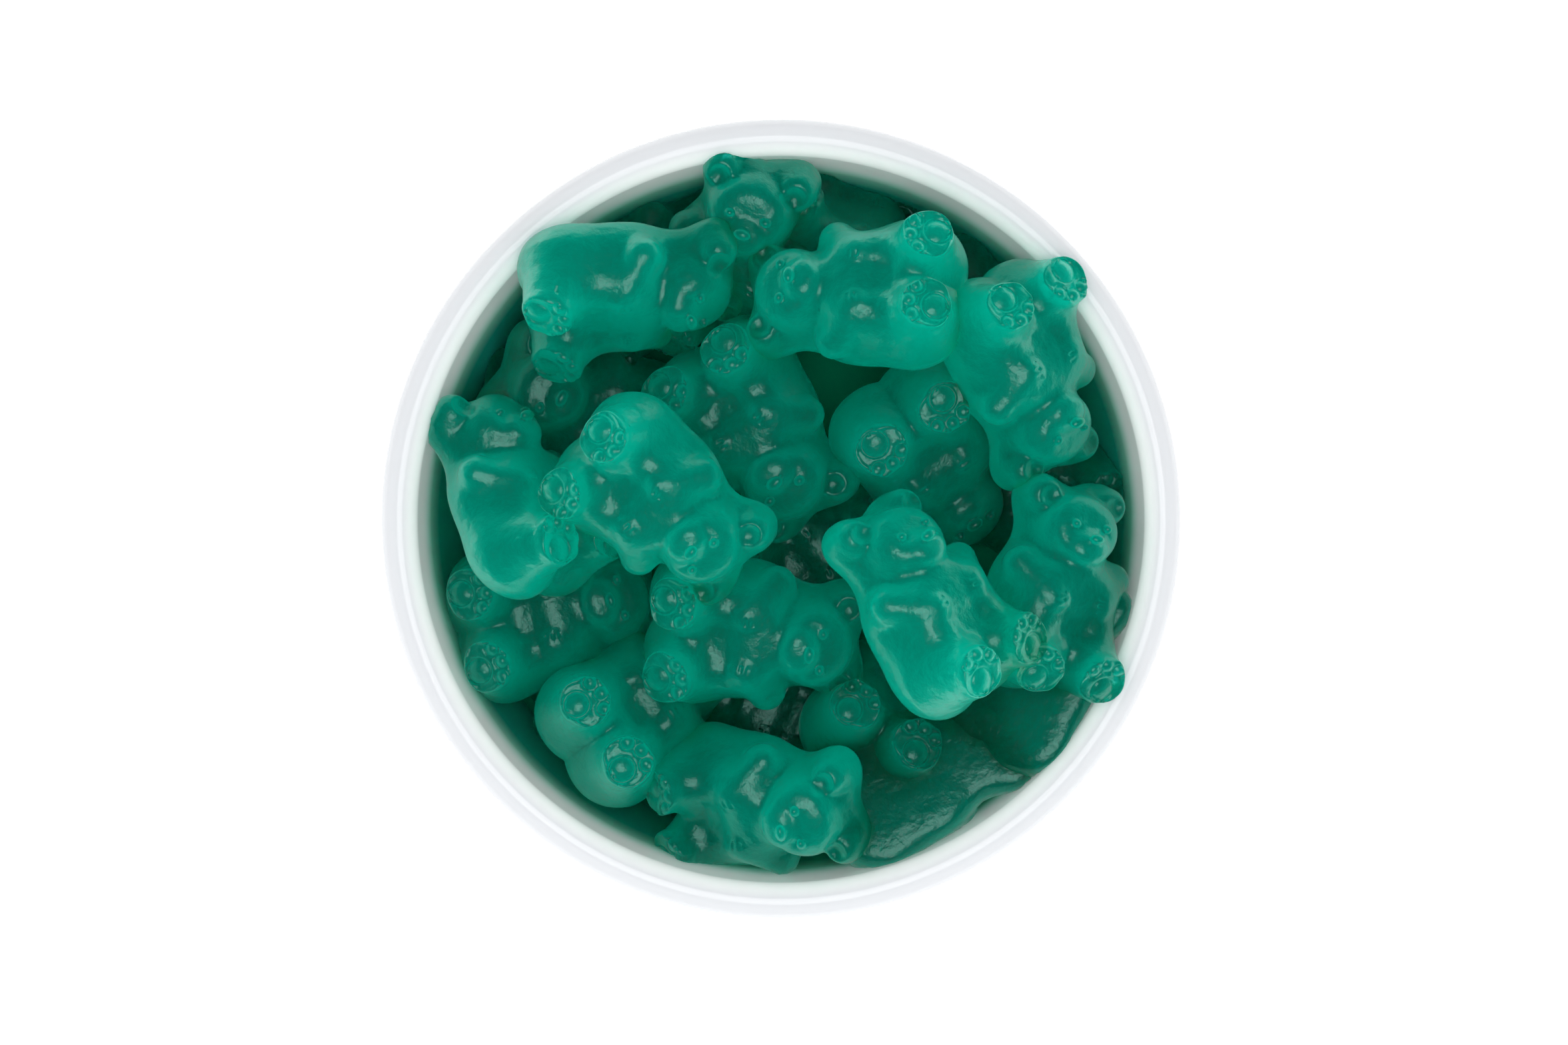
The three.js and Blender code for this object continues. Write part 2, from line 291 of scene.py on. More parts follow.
def net_faces(inside, number):
    """A four-sided face round every grid edge that the skin crosses, facing outwards."""
    faces = []
    for axis in range(3):
        one, two = [other for other in range(3) if other != axis]
        low = [slice(None)] * 3
        low[axis] = slice(0, -1)
        high = [slice(None)] * 3
        high[axis] = slice(1, None)
        below = inside[tuple(low)]
        edges = np.argwhere(below != inside[tuple(high)])
        leaving = below[tuple(edges.T)]
        ring = []
        for step_one, step_two in ((-1, -1), (0, -1), (0, 0), (-1, 0)):
            cells = edges.copy()
            cells[:, one] += step_one
            cells[:, two] += step_two
            ring.append(number[tuple(cells.T)])
        quads = np.stack(ring, -1)
        backwards = leaving if axis == 1 else ~leaving
        quads[backwards] = quads[backwards][:, ::-1]
        faces.append(quads)
    return np.concatenate(faces)


def field_mesh(name, field, low, high, cell):
    sizes = np.ceil((high - low) / cell).astype(int) + 1
    lines = [low[i] + cell * np.arange(sizes[i]) for i in range(3)]
    values = field(np.stack(np.meshgrid(*lines, indexing="ij"), -1))
    inside = values < 0
    filled = np.zeros(sizes - 1, int)
    for start in np.ndindex(2, 2, 2):
        window = tuple(slice(start[i], sizes[i] - 1 + start[i]) for i in range(3))
        filled += inside[window]
    cells = np.argwhere((filled > 0) & (filled < 8))
    number = np.full(filled.shape, -1)
    number[tuple(cells.T)] = np.arange(len(cells))
    points = low + cell * corner_points(values, cells)
    points = walk_to_skin(field, points, cell) * MM
    mesh = bpy.data.meshes.new(name)
    mesh.from_pydata(points.tolist(), [], net_faces(inside, number).tolist())
    mesh.polygons.foreach_set("use_smooth", [True] * len(mesh.polygons))
    return mesh


# %% [markdown]
# The toes and the face have forms finer than that grid. There the faces are split in four,
# and the new corners are walked to the skin as well. A Decimate modifier then takes faces
# away where the skin is nearly flat and leaves them in the paws and the face. The bears on
# top of the heap keep more of them than the ones that only show through the gaps.

# %% Finer paws and face
FINE_ZONES = (  # middle and reach of the paws' soles, the hands and the face
    ((3.65, -7.9, 5.3), 3.0),
    ((2.7, -0.9, 4.4), 1.6),
    ((0, 5.4, 4.6), 3.2),
)


def refine(mesh, field):
    work = bmesh.new()
    work.from_mesh(mesh)
    chosen = set()
    for face in work.faces:
        x, y, z = face.calc_center_median() / MM
        for (mx, my, mz), reach in FINE_ZONES:
            if math.dist((abs(x), y, z), (mx, my, mz)) < reach:
                chosen.update(face.edges)
                break
    bmesh.ops.subdivide_edges(work, edges=list(chosen), cuts=1, use_grid_fill=True)
    bmesh.ops.triangulate(work, faces=[face for face in work.faces if len(face.verts) > 4])
    work.to_mesh(mesh)
    work.free()
    flat = np.empty(3 * len(mesh.vertices))
    mesh.vertices.foreach_get("co", flat)
    points = walk_to_skin(field, flat.reshape(-1, 3) / MM, GRID_CELL / 2)
    mesh.vertices.foreach_set("co", (points * MM).ravel())
    mesh.update()


# %% One bear at two finenesses
TOP_BEAR_FACES = 13000
LOWER_BEAR_FACES = 6500


def thinned(mesh, name, faces):
    """A copy of a mesh brought down to about that many triangles."""
    holder = bpy.data.objects.new(name, mesh)
    bpy.context.scene.collection.objects.link(holder)
    modifier = holder.modifiers.new("thin", "DECIMATE")
    modifier.ratio = faces / sum(len(face.vertices) - 2 for face in mesh.polygons)
    modifier.use_collapse_triangulate = True
    evaluated = holder.evaluated_get(bpy.context.evaluated_depsgraph_get())
    result = bpy.data.meshes.new_from_object(evaluated)
    bpy.data.objects.remove(holder)
    result.name = name
    return result


fine = field_mesh("bear_fine", bear_distance, BEAR_LOW, BEAR_HIGH, GRID_CELL)
refine(fine, bear_distance)
top_shape = thinned(fine, "bear_shape_top", TOP_BEAR_FACES)
lower_shape = thinned(fine, "bear_shape_lower", LOWER_BEAR_FACES)
print("bear:", len(fine.polygons), "->", len(top_shape.polygons), len(lower_shape.polygons))

# %% [markdown]
# ## Where the bears lie
# Each bear has the place of its middle in millimetres, the way its head points in degrees
# from +X, how far its head is lifted, and how far its face is turned over to its left.
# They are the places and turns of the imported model's bears, so that this heap and its
# solid agree.

# %% Places in the heap
BEAR_SCALE = 1.05
BEAR_UNEVENNESS = 0.025
TOP_BEARS = (
    ((-12.5, 1.6, 46), -39, 0, 20),
    ((15.2, -8.3, 47), 122, 0, 38),
    ((7.6, 23.2, 44), 182, -12, 20),
    ((-15.5, 23.2, 40), 7, 0, 50),
    ((25.4, 15.2, 41), -72, -12, -34),
    ((-2.9, 9.2, 37), -55, 0, 15),
    ((15.8, 5.8, 34), -56, -33, 0),
    ((-27.0, 3.0, 39.5), 115, -15, 55),
    ((-23.6, -9.7, 33), 13, -5, 0),
    ((-13.9, -19.0, 33.5), 35, -28, 0),
    ((-2.9, -11.9, 38.5), -6, 0, 15),
    ((28.6, -7.3, 40.5), 79, 0, 28),
    ((-2.3, -29.6, 37), -3, 32, 25),
    ((12.2, -18.9, 30.5), 57, -42, 0),
    ((-4.6, 26.9, 35.5), 73, 33, 0),
)
LOWER_BEARS = (
    ((14.6, -27.0, 34.5), 25, 0, 164),
    ((26.9, -15.6, 35), 58, 0, 160),
    ((8.6, 28.3, 31), -25, 0, -50),
    ((-19.5, 10.9, 31), 153, 22, 0),
    ((-13.0, 26.0, 28), 27, 0, 25),
    ((18.0, 22.8, 27.5), 142, 0, -15),
    ((25.5, 3.2, 26.5), 150, 0, 0),
    ((-19.0, -19.0, 24), 135, 0, 0),
    ((-1.5, -20.0, 26), 160, 0, 0),
    ((-25.4, 12.0, 25), 65, 0, 0),
    ((4.5, -3.1, 28.5), 30, 0, 0),
)


DRAW_FACTOR = 1664525
DRAW_STEP = 1013904223
DRAW_RANGE = 2 ** 32
FIRST_DRAW = 11
GOLDEN_SHARE = 0.618034  # the fractions of its multiples spread evenly


def seeded(state):
    """Evenly spread numbers between -1 and 1, the same every run."""
    while True:
        state = (state * DRAW_FACTOR + DRAW_STEP) % DRAW_RANGE
        yield state / (DRAW_RANGE / 2) - 1


stray = seeded(FIRST_DRAW)


def resting_places(name, bears):
    """A cloud of one point for each bear, holding its turn, its size and a number of its own."""
    cloud = bpy.data.meshes.new(name)
    cloud.from_pydata([tuple(MM * c for c in at) for at, *_ in bears], [], [])
    kinds = {"turn": "FLOAT_VECTOR", "size": "FLOAT_VECTOR", "own": "FLOAT"}
    for kind, data_type in kinds.items():
        cloud.attributes.new(kind, data_type, "POINT")
    turn, size, own = (cloud.attributes[kind] for kind in kinds)
    for i, (_, heading, lift, face_turn) in enumerate(bears):
        about_z = Euler((0, 0, math.radians(heading - 90))).to_matrix()
        about_x = Euler((math.radians(lift), 0, 0)).to_matrix()
        about_y = Euler((0, math.radians(face_turn), 0)).to_matrix()
        turn.data[i].vector = (about_z @ about_x @ about_y).to_euler("XYZ")
        uneven = [1 + BEAR_UNEVENNESS * next(stray) for _ in range(3)]
        size.data[i].vector = [BEAR_SCALE * s for s in uneven]
        own.data[i].value = (i * GOLDEN_SHARE) % 1
    return cloud


top_places = resting_places("places_top", TOP_BEARS)
lower_places = resting_places("places_lower", LOWER_BEARS)

# %% [markdown]
# ## Laying the bears with Geometry Nodes
# The tree puts the bear on every point, turned and sized by the point's own attributes,
# and makes the copies real. A soft noise, taken at another place for each bear by its own
# number, then moves the skin in or out by a quarter of a millimetre at most, because no two
# sweets leave the mould quite alike.

# %% The heap's node tree
OWN_SPREAD = 40.0  # the bears' own numbers, 0 to 1, are spread this far in the noise


def heap_tree(wobble, wobble_size):
    tree = bpy.data.node_groups.new("lay_bears", "GeometryNodeTree")
    sockets = tree.interface
    sockets.new_socket("Geometry", in_out="INPUT", socket_type="NodeSocketGeometry")
    sockets.new_socket("Bear", in_out="INPUT", socket_type="NodeSocketObject")
    for name, value in (("Wobble", wobble), ("Wobble Size", wobble_size)):
        socket = sockets.new_socket(name, in_out="INPUT", socket_type="NodeSocketFloat")
        socket.default_value = value
    sockets.new_socket("Material", in_out="INPUT", socket_type="NodeSocketMaterial")
    sockets.new_socket("Geometry", in_out="OUTPUT", socket_type="NodeSocketGeometry")
    given = add(tree, "NodeGroupInput").outputs
    bear = add(tree, "GeometryNodeObjectInfo", object=given["Bear"]).outputs["Geometry"]
    vector = {"data_type": "FLOAT_VECTOR"}
    turn = add(tree, "GeometryNodeInputNamedAttribute", vector, name="turn").outputs["Attribute"]
    size = add(tree, "GeometryNodeInputNamedAttribute", vector, name="size").outputs["Attribute"]
    rotation = add(tree, "FunctionNodeEulerToRotation", euler=turn).outputs[0]
    laid = add(tree, "GeometryNodeInstanceOnPoints", points=given["Geometry"], instance=bear,
               rotation=rotation, scale=size).outputs[0]
    real = add(tree, "GeometryNodeRealizeInstances", geometry=laid).outputs[0]
    own = add(tree, "GeometryNodeInputNamedAttribute", name="own").outputs["Attribute"]
    scale = add(tree, "ShaderNodeMath", {"operation": "DIVIDE"}, in_0=1.0,
                in_1=given["Wobble Size"])
    apart = add(tree, "ShaderNodeMath", {"operation": "MULTIPLY"}, in_0=own, in_1=OWN_SPREAD)
    noise = add(tree, "ShaderNodeTexNoise", {"noise_dimensions": "4D"}, w=apart.outputs[0],
                scale=scale.outputs[0], detail=1.0)
    centred = add(tree, "ShaderNodeMath", {"operation": "SUBTRACT"},
                  in_0=noise.outputs[0], in_1=0.5)
    amount = add(tree, "ShaderNodeMath", {"operation": "MULTIPLY"},
                 in_0=centred.outputs[0], in_1=given["Wobble"])
    normal = add(tree, "GeometryNodeInputNormal").outputs[0]
    push = add(tree, "ShaderNodeVectorMath", {"operation": "SCALE"}, vector=normal,
               scale=amount.outputs[0])
    moved = add(tree, "GeometryNodeSetPosition", geometry=real, offset=push.outputs[0])
    smooth = add(tree, "GeometryNodeSetShadeSmooth", geometry=moved.outputs[0], shade_smooth=True)
    dressed = add(tree, "GeometryNodeSetMaterial", geometry=smooth.outputs[0],
                  material=given["Material"])
    add(tree, "NodeGroupOutput", geometry=dressed.outputs[0])
    return tree


# %% [markdown]
# ## Glazed porcelain
# A white body under a clear glaze. The glaze gives the sharp, mirror-like highlights and
# waves a little over a few millimetres. The body lets light in a little way, which softens
# the step from the bright lip to the shaded wall. Its colour carries painted light: the inner
# wall is painted whiter than the lip's top and outside, below the lip the wall is painted
# with a green bounce from the sweets that lie against it, and deeper down it is painted
# with a reflection of the sweets in their own colour.

# %% Porcelain material
PAINTED_BOUNCE_STARTS = 38.5 * MM  # heights between which the inside takes its painted green bounce, going down
PAINTED_BOUNCE_FULL = 34.0 * MM
PAINTED_REFLECTION_STARTS = 34.5 * MM  # and between which it turns to a painted reflection of the sweets, in their own colour
PAINTED_REFLECTION_FULL = 30.5 * MM
GLAZE_WAVES = 6 * MM


def porcelain_material():
    material = bpy.data.materials.new("glazed_porcelain")
    material.use_nodes = True
    tree = material.node_tree
    tree.nodes.clear()
    place = add(tree, "ShaderNodeTexCoord").outputs["Object"]
    waves = add(tree, "ShaderNodeTexNoise", vector=place, scale=1 / GLAZE_WAVES, detail=2.0)
    bump = add(tree, "ShaderNodeBump", strength=0.25, distance=0.05 * MM,
               height=waves.outputs["Fac"])
    parts = add(tree, "ShaderNodeSeparateXYZ", vector=place).outputs
    sideways = add(tree, "ShaderNodeCombineXYZ", x=parts["X"], y=parts["Y"], z=0.0).outputs[0]
    outwards = add(tree, "ShaderNodeVectorMath", {"operation": "NORMALIZE"}, vector=sideways)
    skin = add(tree, "ShaderNodeNewGeometry").outputs["Normal"]
    facing = add(tree, "ShaderNodeVectorMath", {"operation": "DOT_PRODUCT"}, in_0=skin,
                 in_1=outwards.outputs[0]).outputs["Value"]
    # Painted light and shade: the inner wall is painted whiter, and the lip's top and outside are
    # painted greyer.
    inside = add(tree, "ShaderNodeMapRange", value=facing, from_min=-0.2, from_max=-0.95)
    white = add(tree, "ShaderNodeMix", {"data_type": "RGBA"}, in_0=inside.outputs[0],
                in_6=linear("#CCCED1"), in_7=linear("#F8FAF9")).outputs[2]
    # Painted bounce: below the lip the inner wall is painted green, as light from the sweets
    # would tint it.
    painted_bounce = add(tree, "ShaderNodeMapRange", value=parts["Z"], from_min=PAINTED_BOUNCE_STARTS,
                from_max=PAINTED_BOUNCE_FULL)
    painted_bounce_colour = add(tree, "ShaderNodeMix", {"data_type": "RGBA"}, in_0=painted_bounce.outputs[0],
                 in_6=linear("#F8FAF9"), in_7=linear("#B1D9CE")).outputs[2]
    # Painted reflection: lower down the wall is painted in the sweets' own colour, as if it
    # mirrored them.
    painted_reflection = add(tree, "ShaderNodeMapRange", value=parts["Z"], from_min=PAINTED_REFLECTION_STARTS,
                from_max=PAINTED_REFLECTION_FULL)
    painted_reflection_colour = add(tree, "ShaderNodeMix", {"data_type": "RGBA"}, in_0=painted_reflection.outputs[0],
                  in_6=painted_bounce_colour, in_7=linear("#20B4A2")).outputs[2]
    # Only the inner wall takes the painted bounce and reflection.
    below = add(tree, "ShaderNodeMath", {"operation": "MULTIPLY"}, in_0=inside.outputs[0],
                in_1=painted_bounce.outputs[0])
    paint = add(tree, "ShaderNodeMix", {"data_type": "RGBA"}, in_0=below.outputs[0],
                in_6=white, in_7=painted_reflection_colour).outputs[2]
    body = add(tree, "ShaderNodeBsdfPrincipled", base_color=paint, subsurface_weight=1.0,
               subsurface_radius=(1.0, 1.0, 1.0), subsurface_scale=5 * MM,
               roughness=0.12, ior=1.42, normal=bump.outputs[0])
    add(tree, "ShaderNodeOutputMaterial", surface=body.outputs[0])
    return material


porcelain = porcelain_material()

# %% [markdown]
# ## The bowl
# Thrown or jiggered on a wheel, so it is a profile turned round an axis. The wall leaves
# the floor steeply and rises into a rolled lip. A Screw modifier turns the profile, with
# enough steps to keep the lip a clean circle.

# %% Turn the bowl
LIP_RADIUS = 1.9
LIP_CENTRE = 39.1
LIP_HEIGHT = 40.1
FLOOR_RADIUS = 20
FLOOR_HEIGHT = 5.5
WALL_START = (27, 3)
WALL_STEPS = 26
OUTER_CROWDING = 2.4  # how much closer the profile's corners lie near the foot
INNER_CROWDING = 3.2
TURNS = 192
SAME_POINT = 1e-6  # corners closer than this, in metres, are one


def inner_radius(height):
    rise = np.maximum(0, (height - FLOOR_HEIGHT) / (LIP_HEIGHT - FLOOR_HEIGHT))
    return FLOOR_RADIUS + (LIP_CENTRE - LIP_RADIUS - FLOOR_RADIUS) * rise ** 0.28


def outer_radius(height):
    rise = np.maximum(0, (height - WALL_START[1]) / (LIP_HEIGHT - WALL_START[1]))
    return WALL_START[0] + (LIP_CENTRE + LIP_RADIUS - WALL_START[0]) * rise ** 0.4


def wall_heights(low, crowding):
    """Heights from just above low to just below the lip, closer together at the bottom."""
    shares = [i / WALL_STEPS for i in range(1, WALL_STEPS)]
    return [low + (LIP_HEIGHT - low) * share ** crowding for share in shares]


def bowl_profile():
    """Radius and height from the middle of the underside round to the middle of the floor."""
    foot = [(0, 2.6), (23, 2.6), (23.5, 2.45), (24.1, 0.3), (24.4, 0), (25.7, 0), (26, 0.25)]
    foot += [(26.4, 1.2), WALL_START]
    up = wall_heights(WALL_START[1], OUTER_CROWDING)
    outside = [(float(outer_radius(h)), h) for h in up]
    turn = [math.radians(a) for a in range(0, 181, 9)]
    lip = [(LIP_CENTRE + LIP_RADIUS * math.cos(a), LIP_HEIGHT + LIP_RADIUS * math.sin(a))
           for a in turn]
    down = wall_heights(FLOOR_HEIGHT, INNER_CROWDING)[::-1]
    inside = [(float(inner_radius(h)), h) for h in down]
    inner_floor = [(FLOOR_RADIUS, FLOOR_HEIGHT), (19, 5.45), (0, 5.45)]
    return foot + outside + lip + inside + inner_floor


def turned(name, profile, steps, material):
    """A closed body turned round the Z axis from its profile, facing outwards."""
    mesh = bpy.data.meshes.new(name)
    edges = [(i, i + 1) for i in range(len(profile) - 1)]
    mesh.from_pydata([(r * MM, 0, h * MM) for r, h in profile], edges, [])
    piece = bpy.data.objects.new(name, mesh)
    bpy.context.scene.collection.objects.link(piece)
    screw = piece.modifiers.new("turn", "SCREW")
    screw.steps = screw.render_steps = steps
    screw.use_merge_vertices = True
    screw.merge_threshold = SAME_POINT
    screw.use_smooth_shade = True
    evaluated = piece.evaluated_get(bpy.context.evaluated_depsgraph_get())
    piece.data = bpy.data.meshes.new_from_object(evaluated)
    piece.modifiers.clear()
    work = bmesh.new()
    work.from_mesh(piece.data)
    bmesh.ops.remove_doubles(work, verts=work.verts, dist=SAME_POINT)
    bmesh.ops.recalc_face_normals(work, faces=work.faces)
    work.to_mesh(piece.data)
    work.free()
    piece.data.materials.clear()
    piece.data.materials.append(material)
    return piece


bowl = turned("porcelain_bowl", bowl_profile(), TURNS, porcelain)
print("bowl faces:", len(bowl.data.polygons))
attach(bowl, "root")
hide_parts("bowl")

# %% [markdown]
# ## Gelatin
# A cooked syrup of sugar and gelatin, oiled after the mould. Light enters, is coloured
# teal-green on its way, and leaves somewhere else, so thin edges glow and thick middles go
# deep. The starch mould leaves a very fine grain, which spreads each highlight into a
# satin patch. The skin's colour is painted lighter higher up in the heap, where more light
# arrives, and painted darker lower down, where the heap is in its own shade. It is also
# painted darker where the skin lies level and has the most gel below it, and lighter where
# it slants, and the coat's highlights are painted weaker lower down.

# %% Gelatin material
GRAIN_SIZE = 0.16 * MM
RIPPLE_SIZE = 1.7 * MM
DIM_HEIGHT = 23 * MM  # below this the heap is in its own shade
LIT_HEIGHT = 44 * MM  # and above this it is fully lit
LEVEL = 0.97  # cosine of the slant up to which the skin counts as level
STEEP = 0.67  # and of the slant from which it counts as steep


def gelatin_material(name, clear, haze):
    """Gel whose volume takes out red light, a little green and blue, and scatters the rest."""
    material = bpy.data.materials.new(name)
    material.use_nodes = True
    tree = material.node_tree
    tree.nodes.clear()
    place = add(tree, "ShaderNodeTexCoord").outputs["Object"]
    grain = add(tree, "ShaderNodeTexNoise", vector=place, scale=1 / GRAIN_SIZE, detail=2.0)
    ripple = add(tree, "ShaderNodeTexNoise", vector=place, scale=1 / RIPPLE_SIZE, detail=3.0)
    uneven = add(tree, "ShaderNodeBump", strength=1.0, distance=0.2 * MM,
                 height=ripple.outputs["Fac"])
    bump = add(tree, "ShaderNodeBump", strength=0.24, distance=0.05 * MM,
               height=grain.outputs["Fac"], normal=uneven.outputs[0])
    height = add(tree, "ShaderNodeSeparateXYZ", vector=place).outputs["Z"]
    lit = add(tree, "ShaderNodeMapRange", value=height, from_min=DIM_HEIGHT,
              from_max=LIT_HEIGHT)
    # Painted light and shade: dark teal low in the heap, bright teal at its top.
    tint_painted_by_height = add(tree, "ShaderNodeMix", {"data_type": "RGBA"}, in_0=lit.outputs[0],
               in_6=linear("#02A889"), in_7=linear("#04FFDD")).outputs[2]
    # Painted shade on the highlights: the coat is weaker lower in the heap.
    gloss_painted_by_height = add(tree, "ShaderNodeMapRange", value=lit.outputs[0], to_min=0.2, to_max=0.6)
    # Painted light and shade: the skin is painted darker where it lies level and lighter where it
    # slants.
    upright = add(tree, "ShaderNodeVectorMath", {"operation": "DOT_PRODUCT"},
                  in_0=bump.outputs[0], in_1=(0, 0, 1)).outputs["Value"]
    level = add(tree, "ShaderNodeMath", {"operation": "ABSOLUTE"}, in_0=upright)
    painted_slant_light = add(tree, "ShaderNodeMapRange", value=level.outputs[0], from_min=LEVEL,
                from_max=STEEP, to_min=0.42, to_max=0.95)
    base_with_painted_light = add(tree, "ShaderNodeVectorMath", {"operation": "SCALE"}, in_0=tint_painted_by_height,
                scale=painted_slant_light.outputs[0])
    skin = add(tree, "ShaderNodeBsdfPrincipled", base_color=base_with_painted_light.outputs[0],
               roughness=0.35, ior=1.36, transmission_weight=1.0,
               specular_tint=linear("#20FFE0"), coat_weight=gloss_painted_by_height.outputs[0],
               coat_ior=1.5, coat_roughness=0.24, sheen_weight=0.1, sheen_roughness=0.45,
               sheen_tint=linear("#00FFD0"), normal=bump.outputs[0],
               coat_normal=bump.outputs[0])
    soak = add(tree, "ShaderNodeVolumeAbsorption", color=linear("#00FAF9"), density=clear)
    mist = add(tree, "ShaderNodeVolumeScatter", color=linear("#10FFFF"), density=haze,
               anisotropy=0.0)
    inside = add(tree, "ShaderNodeAddShader", in_0=soak.outputs[0], in_1=mist.outputs[0])
    add(tree, "ShaderNodeOutputMaterial", surface=skin.outputs[0], volume=inside.outputs[0])
    return material


gelatin = gelatin_material("gelatin_teal", clear=400.0, haze=220.0)

# %% Lay the bears
WOBBLE = 0.5 * MM
WOBBLE_SIZE = 7 * MM


def laid_bears(name, places, shape, material):
    tree = heap_tree(WOBBLE, WOBBLE_SIZE)
    bear = bpy.data.objects.new(name + "_shape", shape)
    piece = bpy.data.objects.new(name, places)
    bpy.context.scene.collection.objects.link(bear)
    bpy.context.scene.collection.objects.link(piece)
    modifier = piece.modifiers.new("lay", "NODES")
    modifier.node_group = tree
    given = {item.name: item.identifier for item in tree.interface.items_tree
             if item.in_out == "INPUT"}
    modifier[given["Bear"]] = bear
    modifier[given["Material"]] = material
    evaluated = piece.evaluated_get(bpy.context.evaluated_depsgraph_get())
    piece.data = bpy.data.meshes.new_from_object(evaluated)
    piece.data.name = name
    piece.modifiers.clear()
    bpy.data.objects.remove(bear)
    return piece


top_bears = laid_bears("bears_on_top", top_places, top_shape, gelatin)
lower_bears = laid_bears("bears_below", lower_places, lower_shape, gelatin)


# %% [markdown]
# ## Off the wall
# Bears at the edge lean on the porcelain, and a soft sweet flattens there. Every corner
# that would reach into the wall is moved in to just inside it, and every corner that
# would reach into the rolled lip is moved straight off it.

# %% Press the bears off the porcelain
CLEARANCE = 0.12


def press_off_wall(piece):
    mesh = piece.data
    flat = np.empty(3 * len(mesh.vertices))
    mesh.vertices.foreach_get("co", flat)
    points = flat.reshape(-1, 3) / MM
    radius = np.hypot(points[:, 0], points[:, 1])
    height = points[:, 2]
    wanted_radius, wanted_height = radius.copy(), height.copy()
    below = height < LIP_HEIGHT
    limit = inner_radius(height) - CLEARANCE
    inside_wall = below & (radius > limit)
    wanted_radius[inside_wall] = limit[inside_wall]
    from_lip = np.hypot(radius - LIP_CENTRE, height - LIP_HEIGHT)
    on_lip = ~below & (from_lip < LIP_RADIUS + CLEARANCE)
    grow = (LIP_RADIUS + CLEARANCE) / np.maximum(from_lip[on_lip], 1e-6)
    wanted_radius[on_lip] = LIP_CENTRE + (radius[on_lip] - LIP_CENTRE) * grow
    wanted_height[on_lip] = LIP_HEIGHT + (height[on_lip] - LIP_HEIGHT) * grow
    ratio = wanted_radius / np.maximum(radius, 1e-9)
    points[:, 0] *= ratio
    points[:, 1] *= ratio
    points[:, 2] = wanted_height
    mesh.vertices.foreach_set("co", (points * MM).ravel())
    mesh.update()
    pressed = int(inside_wall.sum() + on_lip.sum())
    print(piece.name, len(mesh.polygons), "faces,", pressed, "corners pressed")


for piece in (top_bears, lower_bears):
    press_off_wall(piece)
    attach(piece, "root")
    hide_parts("gummy_bears")

# %% [markdown]
# ## The filling below
# Under the bears that show lie more of them, which nobody sees apart. One plain turned
# body fills the bowl there. It is matt and painted in the dark green of shade deep in the
# heap, as gelatin seen through many sweets looks, and so keeps the gaps of the heap dark.

# %% Filling
FILL_TOP = 27
FILL_EDGE = 22
FILL_BOTTOM = 5.9
FILL_CLEARANCE = 0.5
FILL_STEPS = 8
FILL_TURNS = 64


def filling_profile():
    shares = [i / FILL_STEPS for i in range(FILL_STEPS + 1)]
    heights = [FILL_BOTTOM + (FILL_EDGE - FILL_BOTTOM) * share ** 2 for share in shares]
    wall = [(float(inner_radius(h)) - FILL_CLEARANCE, h) for h in heights]
    rim = wall[-1][0]
    top = [(rim * (1 - share), FILL_EDGE + (FILL_TOP - FILL_EDGE) * share ** 0.6)
           for share in shares[1:]]
    return [(0, FILL_BOTTOM)] + wall + top


# Painted shade: the filling is the dark green of shade deep in the heap.
deep = bpy.data.materials.new("gelatin_deep")
deep.use_nodes = True
deep.node_tree.nodes.clear()
dark = add(deep.node_tree, "ShaderNodeBsdfPrincipled", base_color=linear("#026A4C"),
           roughness=0.9, specular_ior_level=0.0)
add(deep.node_tree, "ShaderNodeOutputMaterial", surface=dark.outputs[0])
filling = turned("filling", filling_profile(), FILL_TURNS, deep)
print("filling faces:", len(filling.data.polygons))
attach(filling, "root")
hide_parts("gummy_bears")

# %% [markdown]
# ## Floor and light
# A white sweep and a tent of light: the floor and the surroundings are almost evenly
# white, and a large soft box above gives the porcelain and the sweets their highlights.
# The tent gives less light from the far side, so the lip is shaded softly there, while the
# backdrop itself stays white. A reflection sees only a hundredth of the tent's light, so
# that the highlights come from the soft box, and no white veil lies over the sweets.

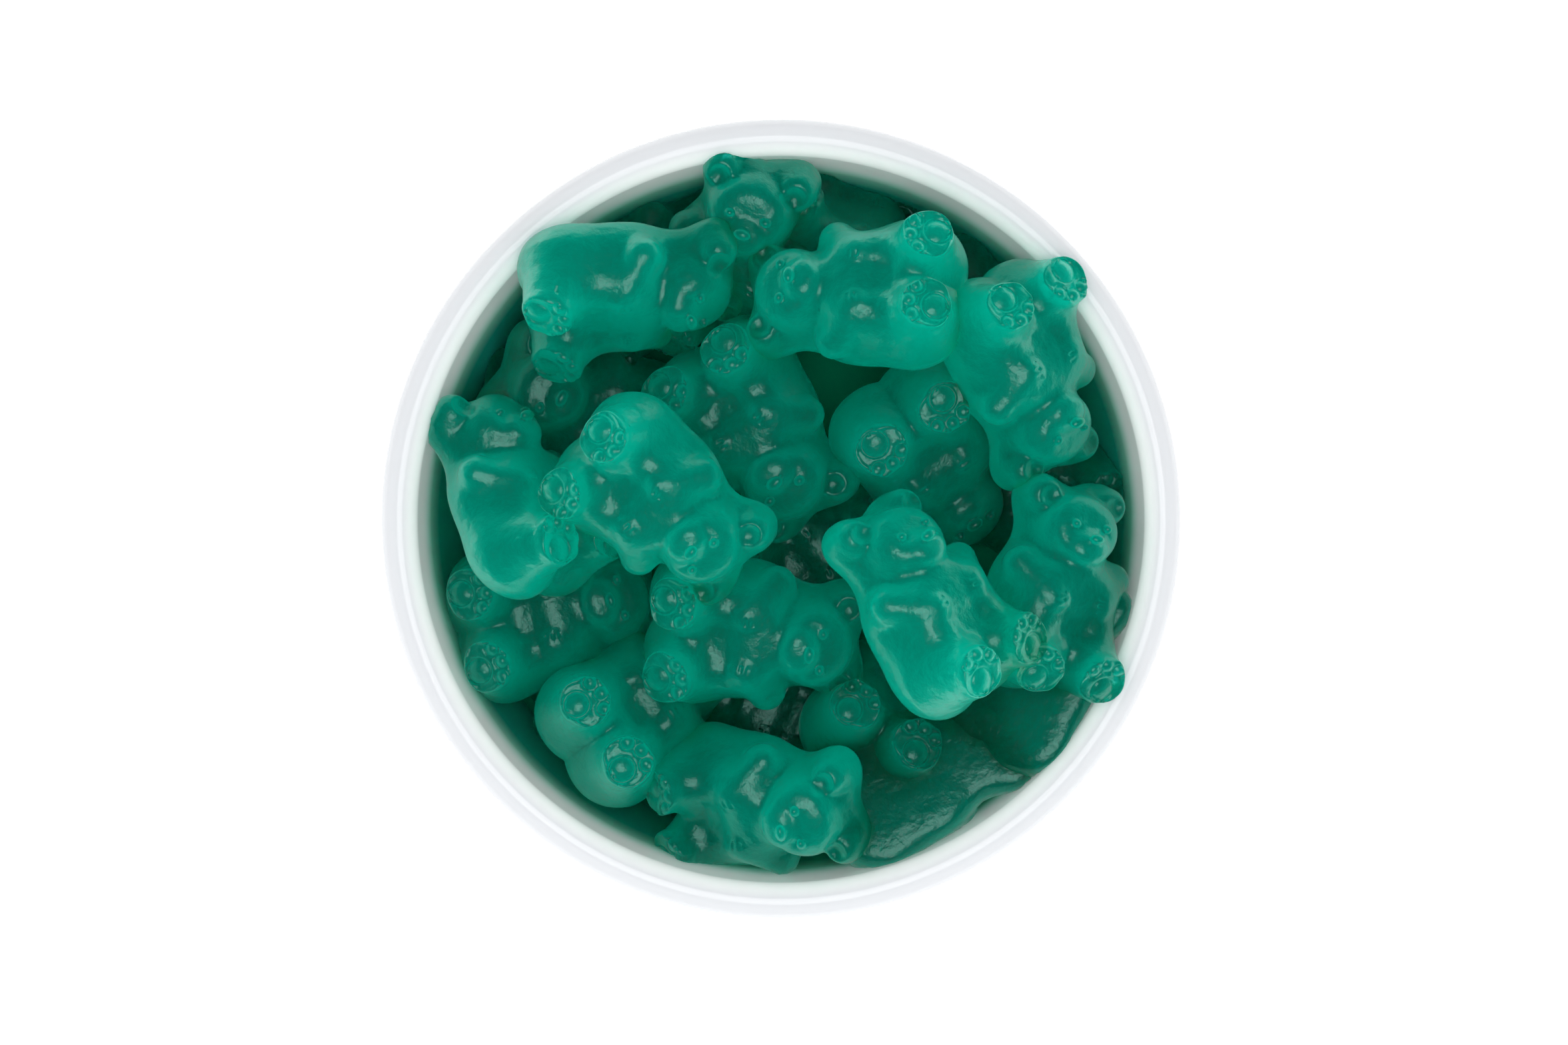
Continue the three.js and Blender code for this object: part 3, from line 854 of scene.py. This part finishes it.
# %% Floor
FLOOR_REACH = 1.5
floor_mesh = bpy.data.meshes.new("floor")
corners = [(x * FLOOR_REACH, y * FLOOR_REACH, 0) for x, y in ((-1, -1), (1, -1), (1, 1), (-1, 1))]
floor_mesh.from_pydata(corners, [], [(0, 1, 2, 3)])
floor = bpy.data.objects.new("floor", floor_mesh)
bpy.context.scene.collection.objects.link(floor)
floor_paint = bpy.data.materials.new("white_sweep")
floor_paint.use_nodes = True
floor_paint.node_tree.nodes.clear()
paint = add(floor_paint.node_tree, "ShaderNodeBsdfPrincipled", base_color=linear("#F6F6F6"),
            roughness=0.9, emission_color=linear("#FFFFFF"), emission_strength=0.35)
add(floor_paint.node_tree, "ShaderNodeOutputMaterial", surface=paint.outputs[0])
floor_mesh.materials.append(floor_paint)

# %% Lights
world = bpy.data.worlds.new("tent")
bpy.context.scene.world = world
world.use_nodes = True
world.node_tree.nodes.clear()
ray = add(world.node_tree, "ShaderNodeLightPath").outputs
mirrored = add(world.node_tree, "ShaderNodeMath", {"operation": "SUBTRACT", "use_clamp": True},
               in_0=ray["Is Glossy Ray"], in_1=ray["Is Transmission Ray"])
dimmed = add(world.node_tree, "ShaderNodeMapRange", value=mirrored.outputs[0],
             to_min=1.0, to_max=0.01)
FAR_SIDE = (0.25, 0.97, 0)
way = add(world.node_tree, "ShaderNodeTexCoord").outputs["Generated"]
away = add(world.node_tree, "ShaderNodeVectorMath", {"operation": "DOT_PRODUCT"}, in_0=way,
           in_1=FAR_SIDE).outputs["Value"]
falloff = add(world.node_tree, "ShaderNodeMapRange", value=away, from_min=-1.0, from_max=1.0,
              to_min=1.16, to_max=0.72)
lighting = add(world.node_tree, "ShaderNodeMath", {"operation": "MULTIPLY"},
               in_0=dimmed.outputs[0], in_1=falloff.outputs[0])
strength = add(world.node_tree, "ShaderNodeMath", {"operation": "MAXIMUM"},
               in_0=lighting.outputs[0], in_1=ray["Is Camera Ray"])
glow = add(world.node_tree, "ShaderNodeBackground", color=linear("#FFFFFF"),
           strength=strength.outputs[0])
world.cycles.sampling_method = "NONE"
add(world.node_tree, "ShaderNodeOutputWorld", surface=glow.outputs[0])


def soft_box(name, place, width, power):
    data = bpy.data.lights.new(name, "AREA")
    data.shape = "DISK"
    data.size = width
    data.energy = power
    lamp = bpy.data.objects.new(name, data)
    lamp.location = place
    aim = Vector((0, 0, LIP_LEVEL)) - Vector(place)
    lamp.rotation_euler = aim.to_track_quat("-Z", "Y").to_euler()
    bpy.context.scene.collection.objects.link(lamp)
    return lamp


soft_box("overhead_box", place=(0.02, -0.08, 0.8), width=0.5, power=2.6)
bpy.context.scene.view_settings.view_transform = "Standard"
bpy.context.scene.cycles.volume_bounces = 8
